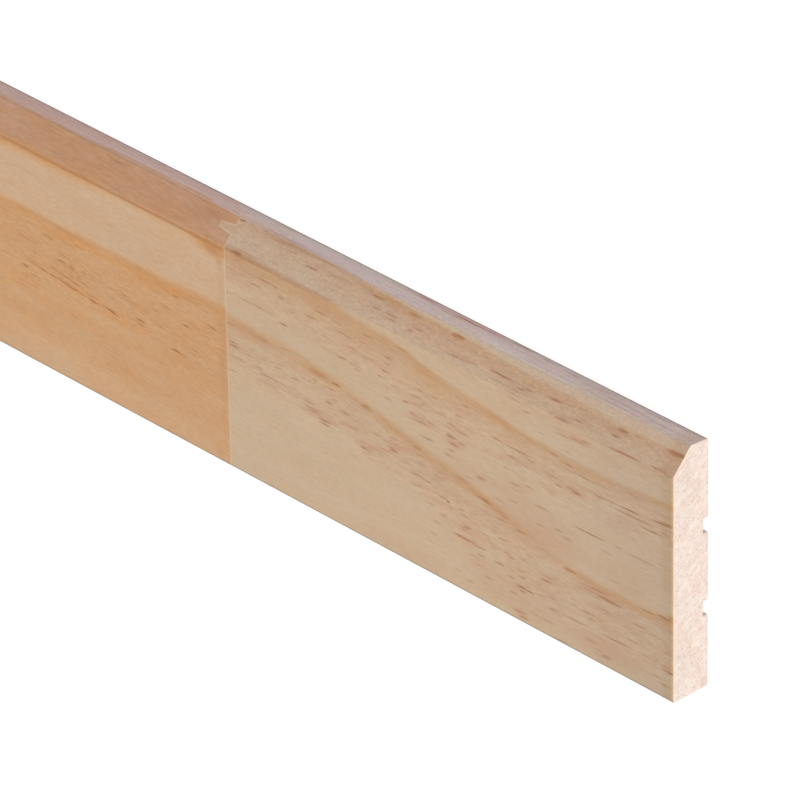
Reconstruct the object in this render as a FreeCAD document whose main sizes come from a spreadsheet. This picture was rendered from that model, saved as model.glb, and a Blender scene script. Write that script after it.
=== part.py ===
import FreeCAD, Part
import os
import Sketcher

# A length of splayed pine skirting board, glued up from finger-jointed blocks.
# It lies face up on its grooved back, as a loose board lies on a floor.
# X runs along the board, with the near end at +X. Y runs up its height, from
# the floor edge at -Y to the splayed top edge at +Y. Z is up, through its thickness.
# The origin is under the middle of the back. Lengths are in millimetres.

# Name, value and note of each driving size
sizeRows = [
    ("board_length", 2400, "the whole length, as sold"),
    ("board_height", 66, "from the floor edge to the top edge"),
    ("board_thickness", 11, "from the back to the face"),
    ("splay_height", 6, "how far the splay reaches down the face"),
    ("splay_depth", 5.5, "how far the splay reaches back over the top edge"),
    ("top_fall", 0.5, "how far the top edge drops from the splay to the back"),
    ("nose_radius", 1, "rounding where the splay meets the top edge"),
    ("arris_radius", 0.3, "rounding of the other long edges"),
    ("groove_width", 4, "width of each relief groove in the back"),
    ("groove_depth", 1.5, "depth of each relief groove"),
    ("lower_groove_height", 21, "from the floor edge to the middle of the lower groove"),
    ("groove_pitch", 22, "from the lower groove to the upper one"),
    ("finger_length", 4.4, "how far each finger reaches into the next block"),
    ("finger_root", 1.8, "thickness of a finger where it starts"),
    ("finger_tip", 1, "thickness of a finger at its blunt tip"),
    ("finger_pitch", 3.2, "from one finger to the next"),
    ("face_shoulder", 2.25, "from the face to the first finger"),
    ("least_back_shoulder", 0.5, "least wood behind the last finger"),
    ("block_1_length", 148.5, "blocks from the near end, from shoulder to shoulder"),
    ("block_2_length", 410, ""),
    ("block_3_length", 330, ""),
    ("block_4_length", 520, ""),
    ("block_5_length", 280, ""),
    ("block_6_length", 450, ""),
]
grooveCount = 2

# Places that several sketches share, as text that the features are bound to
topEdge = "sizes.board_height / 2"
floorEdge = "-sizes.board_height / 2"
backTop = "(sizes.board_height / 2 - sizes.top_fall)"
faceLevel = "sizes.board_thickness"
splayFoot = "(sizes.board_height / 2 - sizes.splay_height)"
splayTop = "(sizes.board_thickness - sizes.splay_depth)"
fingerTaper = "(sizes.finger_root - sizes.finger_tip) / 2"
fingerRoom = (
    "(sizes.board_thickness - sizes.face_shoulder - sizes.finger_root"
    " - sizes.least_back_shoulder)"
)
fingerCountText = f"(floor({fingerRoom} / sizes.finger_pitch) + 1)"
fingerTop = "(sizes.board_thickness - sizes.face_shoulder)"
fingerFoot = f"({fingerTop} - sizes.finger_root)"
lastFingerFoot = f"({fingerFoot} - ({fingerCountText} - 1) * sizes.finger_pitch)"

document = FreeCAD.newDocument("skirting_board")


def makeSheet():
    sheet = document.addObject("Spreadsheet::Sheet", "sizes")
    for row, (name, value, note) in enumerate(sizeRows, 1):
        sheet.set(f"A{row}", name)
        sheet.set(f"B{row}", str(value))
        sheet.set(f"C{row}", note)
        sheet.setAlias(f"B{row}", name)
    document.recompute()
    return sheet


def plane(body, role):
    return next(item for item in body.Origin.OriginFeatures if item.Role == role)


# A closed outline on one of the body's planes. Each corner is a pair of texts,
# which place it from the plane's origin.
def makeOutline(body, role, name, corners):
    sketch = body.newObject("Sketcher::SketchObject", name)
    sketch.AttachmentSupport = [(plane(body, role), "")]
    sketch.MapMode = "FlatFace"
    points = []
    for across, up in corners:
        points.append(FreeCAD.Vector(body.evalExpression(across), body.evalExpression(up), 0))
    for start, end in zip(points, points[1:] + points[:1]):
        sketch.addGeometry(Part.LineSegment(start, end), False)
    for line in range(len(points)):
        sketch.addConstraint(Sketcher.Constraint("Coincident", line, 2, (line + 1) % len(points), 1))
    for line, (across, up) in enumerate(corners):
        for direction, text, axis in (("DistanceX", across, -2), ("DistanceY", up, -1)):
            if text == "0":
                sketch.addConstraint(Sketcher.Constraint("PointOnObject", line, 1, axis))
                continue
            value = body.evalExpression(text)
            number = sketch.addConstraint(Sketcher.Constraint(direction, -1, 1, line, 1, value))
            sketch.setExpression(f"Constraints[{number}]", text)
    return sketch


# Cuts the outline right through the block, both ways from its plane
def cutThrough(body, sketch, name):
    before = body.Tip.Shape.Volume
    cut = body.newObject("PartDesign::Pocket", name)
    cut.Profile = sketch
    cut.Type = "ThroughAll"
    cut.SideType = "Symmetric"
    document.recompute()
    if cut.Shape.Volume > before - 0.1:
        raise ValueError(f"{body.Label}: {name} takes nothing away")
    return cut


def repeatAlong(body, feature, role, reverse, pitch, count, name):
    pattern = body.newObject("PartDesign::LinearPattern", name)
    pattern.Originals = [feature]
    pattern.Direction = (plane(body, role), [""])
    pattern.Reversed = reverse
    pattern.Mode = "Spacing"
    pattern.setExpression("Offset", pitch)
    pattern.setExpression("Occurrences", count)
    body.Tip = pattern
    document.recompute()
    return pattern


# Rounds the edges that run the whole length of the block at the given corners
def roundLongEdges(body, feature, corners, radius, name):
    edges = []
    for number, edge in enumerate(feature.Shape.Edges, 1):
        middle = edge.CenterOfMass
        for across, up in corners:
            gap = abs(middle.y - body.evalExpression(across)) + abs(middle.z - body.evalExpression(up))
            if gap < 0.001:
                edges.append(f"Edge{number}")
    fillet = body.newObject("PartDesign::Fillet", name)
    fillet.Base = (feature, edges)
    fillet.setExpression("Radius", radius)
    document.recompute()
    return fillet


# The moulded section: the splayed outline with its rounded arrises and back grooves
def makeMouldedLength(body, lengthText):
    outline = makeOutline(body, "YZ_Plane", "section", [
        (floorEdge, "0"),
        (backTop, "0"),
        (topEdge, splayTop),
        (splayFoot, faceLevel),
        (floorEdge, faceLevel),
    ])
    moulded = body.newObject("PartDesign::Pad", "moulded_length")
    moulded.Profile = outline
    moulded.Reversed = True
    moulded.setExpression("Length", lengthText)
    document.recompute()

    nose = roundLongEdges(body, moulded, [(topEdge, splayTop)], "sizes.nose_radius", "nose")
    arrises = [(floorEdge, "0"), (backTop, "0"), (splayFoot, faceLevel), (floorEdge, faceLevel)]
    roundLongEdges(body, nose, arrises, "sizes.arris_radius", "arrises")

    grooveMiddle = f"{floorEdge} + sizes.lower_groove_height"
    grooveLow = f"{grooveMiddle} - sizes.groove_width / 2"
    grooveHigh = f"{grooveMiddle} + sizes.groove_width / 2"
    grooveOutline = makeOutline(body, "YZ_Plane", "groove_outline", [
        (grooveLow, "0"),
        (grooveHigh, "0"),
        (grooveHigh, "sizes.groove_depth"),
        (grooveLow, "sizes.groove_depth"),
    ])
    groove = cutThrough(body, grooveOutline, "groove")
    repeatAlong(
        body, groove, "Y_Axis", False, "sizes.groove_pitch", str(grooveCount), "back_grooves"
    )


# Tapered sockets in the near end, which the fingers of the block before it fill
def cutSockets(body, fingerCount):
    outline = makeOutline(body, "XZ_Plane", "socket_outline", [
        ("0", fingerTop),
        ("-sizes.finger_length", f"{fingerTop} - {fingerTaper}"),
        ("-sizes.finger_length", f"{fingerFoot} + {fingerTaper}"),
        ("0", fingerFoot),
    ])
    socket = cutThrough(body, outline, "socket")
    if fingerCount > 1:
        repeatAlong(body, socket, "Z_Axis", True, "sizes.finger_pitch", fingerCountText, "sockets")


# Clears the wood in front of, between and behind the fingers of the far end
def cutFingers(body, rootText, fingerCount):
    root = f"-({rootText})"
    tip = f"-({rootText}) - sizes.finger_length"
    frontGap = makeOutline(body, "XZ_Plane", "front_gap_outline", [
        (root, faceLevel),
        (root, fingerTop),
        (tip, f"{fingerTop} - {fingerTaper}"),
        (tip, faceLevel),
    ])
    cutThrough(body, frontGap, "front_gap")

    backGap = makeOutline(body, "XZ_Plane", "back_gap_outline", [
        (root, lastFingerFoot),
        (root, "0"),
        (tip, "0"),
        (tip, f"{lastFingerFoot} + {fingerTaper}"),
    ])
    cutThrough(body, backGap, "back_gap")

    if fingerCount > 1:
        nextTop = f"({fingerTop} - sizes.finger_pitch)"
        betweenGap = makeOutline(body, "XZ_Plane", "between_gap_outline", [
            (root, fingerFoot),
            (root, nextTop),
            (tip, f"{nextTop} - {fingerTaper}"),
            (tip, f"{fingerFoot} + {fingerTaper}"),
        ])
        gap = cutThrough(body, betweenGap, "between_gap")
        gapCount = f"{fingerCountText} - 1"
        repeatAlong(body, gap, "Z_Axis", True, "sizes.finger_pitch", gapCount, "finger_gaps")


# One block, from the shoulder of the joint before it to the shoulder of the next
def makeBlock(name, placeText, lengthText, hasSockets, hasFingers):
    body = document.addObject("PartDesign::Body", name)
    body.Label = name
    fingerCount = int(body.evalExpression(fingerCountText))
    mouldedText = f"{lengthText} + sizes.finger_length" if hasFingers else lengthText
    makeMouldedLength(body, mouldedText)
    if hasSockets:
        cutSockets(body, fingerCount)
    if hasFingers:
        cutFingers(body, lengthText, fingerCount)
    body.setExpression("Placement.Base.x", f"sizes.board_length / 2 - ({placeText})")
    return body


# Blocks follow each other in the order of the sheet, over and over. A block is the
# last where the next one would have no room, and it runs on to the far end.
def makeBoard(sheet):
    lengthNames = [name for name, value, note in sizeRows if name.startswith("block_")]
    blocks = []
    place = 0
    placeText = "0"
    filled = False
    while not filled:
        lengthName = lengthNames[len(blocks) % len(lengthNames)]
        nextName = lengthNames[(len(blocks) + 1) % len(lengthNames)]
        lengthText = f"sizes.{lengthName}"
        length = sheet.get(lengthName)
        filled = sheet.board_length - place - length < sheet.get(nextName)
        if filled:
            lengthText = f"sizes.board_length - ({placeText})"
        name = f"block_{len(blocks) + 1}"
        blocks.append(makeBlock(name, placeText, lengthText, len(blocks) > 0, not filled))
        place += length
        placeText = f"{placeText} + {lengthText}"
    document.recompute()
    return blocks


# Nothing is written unless every feature and every block is sound
def checkBoard(blocks):
    for item in document.Objects:
        if "Invalid" in item.State or "Error" in item.State:
            raise ValueError(f"{item.Label} failed to build")
    for block in blocks:
        shape = block.Shape
        if shape.isNull() or not shape.isValid() or len(shape.Solids) != 1:
            raise ValueError(f"{block.Label} isn't one sound solid")


blocks = makeBoard(makeSheet())
checkBoard(blocks)
os.makedirs("parts", exist_ok=True)
for block in blocks:
    block.Shape.exportStep(f"parts/{block.Label}.step")
    box = block.Shape.BoundBox
    print(
        f"{block.Label}: x {box.XMin:.2f} to {box.XMax:.2f}, y {box.YMin:.2f} to {box.YMax:.2f},"
        f" z {box.ZMin:.2f} to {box.ZMax:.2f}, volume {block.Shape.Volume:.1f}"
    )
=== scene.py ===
import math
import bmesh
import bpy
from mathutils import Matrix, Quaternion, Vector


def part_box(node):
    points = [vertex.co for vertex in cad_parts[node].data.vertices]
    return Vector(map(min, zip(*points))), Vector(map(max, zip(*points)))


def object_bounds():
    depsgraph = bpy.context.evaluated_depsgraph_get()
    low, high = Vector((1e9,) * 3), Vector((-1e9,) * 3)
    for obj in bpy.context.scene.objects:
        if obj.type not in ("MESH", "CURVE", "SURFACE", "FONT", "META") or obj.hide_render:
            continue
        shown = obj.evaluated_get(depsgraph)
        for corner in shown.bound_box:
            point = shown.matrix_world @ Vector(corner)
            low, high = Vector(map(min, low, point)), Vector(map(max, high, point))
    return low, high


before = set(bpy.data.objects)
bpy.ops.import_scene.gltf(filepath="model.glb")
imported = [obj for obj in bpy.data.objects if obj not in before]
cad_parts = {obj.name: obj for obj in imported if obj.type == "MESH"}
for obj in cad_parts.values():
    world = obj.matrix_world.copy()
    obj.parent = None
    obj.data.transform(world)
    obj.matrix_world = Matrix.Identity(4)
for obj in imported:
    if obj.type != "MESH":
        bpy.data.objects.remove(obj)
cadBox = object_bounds()


# Colours are written as they look, from 0 to 1, and turned into linear light here
def tone(red, green, blue):
    linear = [c / 12.92 if c <= 0.04045 else ((c + 0.055) / 1.055) ** 2.4 for c in (red, green, blue)]
    return (*linear, 1.0)


# The board's ends and edges, in millimetres
board = {
    "nearEnd": cadBox[1].x * 1000,
    "farEnd": cadBox[0].x * 1000,
    "floorEdge": cadBox[0].y * 1000,
    "thickness": cadBox[1].z * 1000,
    "height": 66.0,
    "splayFoot": 60.0,     # where the splay leaves the face
    "splayLean": 5.5 / 6.0,   # how far it leans back for each millimetre up
}


# Node helpers: a socket is linked, anything else is set
def addNode(tree, kind, sockets=None, **settings):
    node = tree.nodes.new(kind)
    for name, value in settings.items():
        setattr(node, name, value)
    for name, value in (sockets or {}).items():
        if isinstance(value, bpy.types.NodeSocket):
            tree.links.new(value, node.inputs[name])
        else:
            node.inputs[name].default_value = value
    return node


def calc(tree, operation, first, second=0.0, third=0.0, clamp=False):
    sockets = {0: first, 1: second, 2: third}
    return addNode(tree, "ShaderNodeMath", sockets, operation=operation, use_clamp=clamp).outputs[0]


def multiply(tree, first, *others):
    for other in others:
        first = calc(tree, "MULTIPLY", first, other)
    return first


def remap(tree, value, low, high, toLow=0.0, toHigh=1.0, smooth=False):
    sockets = {"Value": value, "From Min": low, "From Max": high, "To Min": toLow, "To Max": toHigh}
    kind = "SMOOTHSTEP" if smooth else "LINEAR"
    return addNode(tree, "ShaderNodeMapRange", sockets, interpolation_type=kind).outputs["Result"]


def mixColour(tree, amount, first, second, blend="MIX"):
    node = addNode(tree, "ShaderNodeMix", {0: amount}, data_type="RGBA", blend_type=blend)
    for place, value in ((6, first), (7, second)):
        if isinstance(value, bpy.types.NodeSocket):
            tree.links.new(value, node.inputs[place])
        else:
            node.inputs[place].default_value = value
    return node.outputs[2]


def shade(tree, colour, amount):
    return addNode(tree, "ShaderNodeVectorMath", {0: colour, "Scale": amount}, operation="SCALE").outputs[0]


def washed(tree, colour, tint):
    return mixColour(tree, 1.0, colour, (*tint, 1), blend="MULTIPLY")


def tinted(tree, colour, amount, tint):
    return mixColour(tree, amount, colour, washed(tree, colour, tint))


def apart(tree, first, second):
    return calc(tree, "ABSOLUTE", calc(tree, "SUBTRACT", first, second))


# A smooth line through a few points
def curve(tree, value, points):
    low, high = points[0][0], points[-1][0]
    across = remap(tree, value, low, high)
    node = addNode(tree, "ShaderNodeFloatCurve", {"Value": across})
    heights = [height for place, height in points]
    bottom, top = min(heights), max(heights)
    span = max(top - bottom, 0.001)
    line = node.mapping.curves[0]
    for number, (place, height) in enumerate(points):
        spot = ((place - low) / (high - low), (height - bottom) / span)
        if number < 2:
            line.points[number].location = spot
        else:
            line.points.new(*spot)
    node.mapping.update()
    return calc(tree, "MULTIPLY_ADD", node.outputs[0], span, bottom)


# Straight lines through a few points
def ramp(tree, value, stops):
    low, high = stops[0][0], stops[-1][0]
    node = addNode(tree, "ShaderNodeValToRGB", {"Fac": remap(tree, value, low, high)})
    elements = node.color_ramp.elements
    for number, (place, amount) in enumerate(stops):
        spot = (place - low) / (high - low)
        element = elements[number] if number < 2 else elements.new(spot)
        element.position = spot
        element.color = (amount, amount, amount, 1)
    return node.outputs["Color"]


# Each kind of noise. size is how long, how high and how deep one blot is, in millimetres, and
# shift keeps two kinds in one block from looking alike. A fibrous kind follows the slope of
# the grain. reach is how far the noise swings about its centre. Otherwise between is the part
# of the noise that counts, and gives what it turns into there.
noises = {
    "wander": {"size": (24, 6, 6), "reach": 0.6},
    "ragged": {"size": (5, 0.9, 0.9), "detail": 3, "reach": 0.45},
    "pithWander": {"size": (90, 25, 25), "detail": 3, "reach": 4.5},
    "ripple": {"size": (7, 2.5, 2.5), "shift": 1, "reach": 0.25},
    "patches": {"size": (16, 3, 3), "shift": 0, "reach": 0.65, "centre": 0.95},
    "russet": {"size": (9, 0.7, 0.7), "shift": 2, "fibrous": True, "between": (0.55, 0.75)},
    "clusters": {
        "size": (13, 2.4, 5), "shift": 5, "fibrous": True, "between": (0.42, 0.6), "gives": (0.15, 1.3),
    },
    "clouds": {"size": (60, 9, 9), "shift": 3, "between": (0.25, 0.75), "gives": (0.97, 1.03)},
    "fibres": {"size": (10, 0.45, 0.45), "shift": 4, "detail": 3, "fibrous": True},
    "mottle": {
        "size": (2.4, 0.7, 0.7), "shift": 9, "detail": 3, "rough": 0.7,
        "between": (0.3, 0.7), "gives": (-1, 1),
    },
    "wool": {
        "size": (0.9, 0.45, 0.45), "shift": 14, "rough": 0.7, "between": (0.3, 0.7), "gives": (-1, 1),
    },
    "smallTint": {"size": (5, 1.4, 1.4), "shift": 11, "between": (0.35, 0.65)},
    "largeTint": {"size": (17, 4, 4), "shift": 13, "between": (0.35, 0.65)},
    "torn": {
        "size": (2.5, 0.25, 0.6), "shift": 10, "fibrous": True,
        "between": (0.3, 0.7), "gives": (0.55, 1.25),
    },
    "edgeStreaks": {
        "size": (30, 0.6, 0.6), "shift": 12, "detail": 3, "between": (0.3, 0.7), "gives": (0.92, 1.08),
    },
    "endBlotches": {"size": (20, 2.2, 2.2), "shift": 6, "detail": 3, "between": (0.4, 0.62)},
    "endSpeckle": {"size": (20, 0.45, 0.45), "shift": 8, "between": (0.3, 0.7), "gives": (0.92, 1.08)},
}


def stretched(tree, spot, size, seed, across):
    return addNode(tree, "ShaderNodeCombineXYZ", {
        "X": calc(tree, "MULTIPLY_ADD", spot["along"], 1 / size[0], seed),
        "Y": calc(tree, "MULTIPLY", across, 1 / size[1]),
        "Z": calc(tree, "MULTIPLY", spot["depth"], 1 / size[2]),
    }).outputs[0]


def noise(tree, spot, kind):
    plan = noises[kind]
    seed = spot["seed"] + plan["shift"] if "shift" in plan else 0.0
    across = spot["across"] if "fibrous" in plan else spot["height"]
    return addNode(tree, "ShaderNodeTexNoise", {
        "Vector": stretched(tree, spot, plan["size"], seed, across),
        "Scale": 1.0,
        "Detail": plan.get("detail", 2.0),
        "Roughness": plan.get("rough", 0.5),
    }, noise_dimensions="3D").outputs["Fac"]


def swing(tree, spot, kind):
    plan = noises[kind]
    lowest = plan.get("centre", 0.0) - plan["reach"]
    return calc(tree, "MULTIPLY_ADD", noise(tree, spot, kind), 2 * plan["reach"], lowest)


def blots(tree, spot, kind):
    plan = noises[kind]
    return remap(tree, noise(tree, spot, kind), *plan["between"], *plan.get("gives", (0.0, 1.0)))


# Where a point lies in the board: millimetres from the near end (below 0), up from
# the floor edge and down from the face, and which way its surface looks. across is
# the height of its fibre, once the slope of the grain is taken off.
def readSpot(tree, cut, seed):
    place = addNode(tree, "ShaderNodeTexCoord")
    scaled = addNode(tree, "ShaderNodeVectorMath", {
        0: place.outputs["Object"], "Scale": 1000.0,
    }, operation="SCALE")
    parts = addNode(tree, "ShaderNodeSeparateXYZ", {0: scaled.outputs[0]})
    facing = addNode(tree, "ShaderNodeSeparateXYZ", {0: place.outputs["Normal"]})
    spot = {
        "seed": seed,
        "along": calc(tree, "SUBTRACT", parts.outputs[0], board["nearEnd"]),
        "height": calc(tree, "SUBTRACT", parts.outputs[1], board["floorEdge"]),
        "depth": calc(tree, "SUBTRACT", board["thickness"], parts.outputs[2]),
        "lengthways": calc(tree, "ABSOLUTE", facing.outputs[0]),
        "upwards": facing.outputs[1],
        "outwards": facing.outputs[2],
    }
    level = calc(tree, "MULTIPLY_ADD", spot["along"], -cut["slope"], spot["height"])
    spot["across"] = calc(tree, "ADD", level, swing(tree, spot, "ripple"))
    return spot


# What a block has where its own dictionary says nothing
usual = {
    "fleck": tone(0.60, 0.398, 0.27),
    "blush": tone(0.752, 0.592, 0.48),   # the tint round a cluster of flecks
    "edge": (1.11, 1.21, 1.56),          # a planed edge against the face: greyer, partly its own tone, partly a painted cool sheen
    "upperArris": 0.9,     # the shade where the splay meets the top edge
    "mottle": 0.06,        # how lively the face is, and the splay
    "splayMottle": 0.02,
    "tint": 1.0,           # how far the large warm and cool patches part
    "plainness": 1.1,      # how plain the dark marks are, and how much wider than their lists say
    "widen": 1.25,
}


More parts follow.
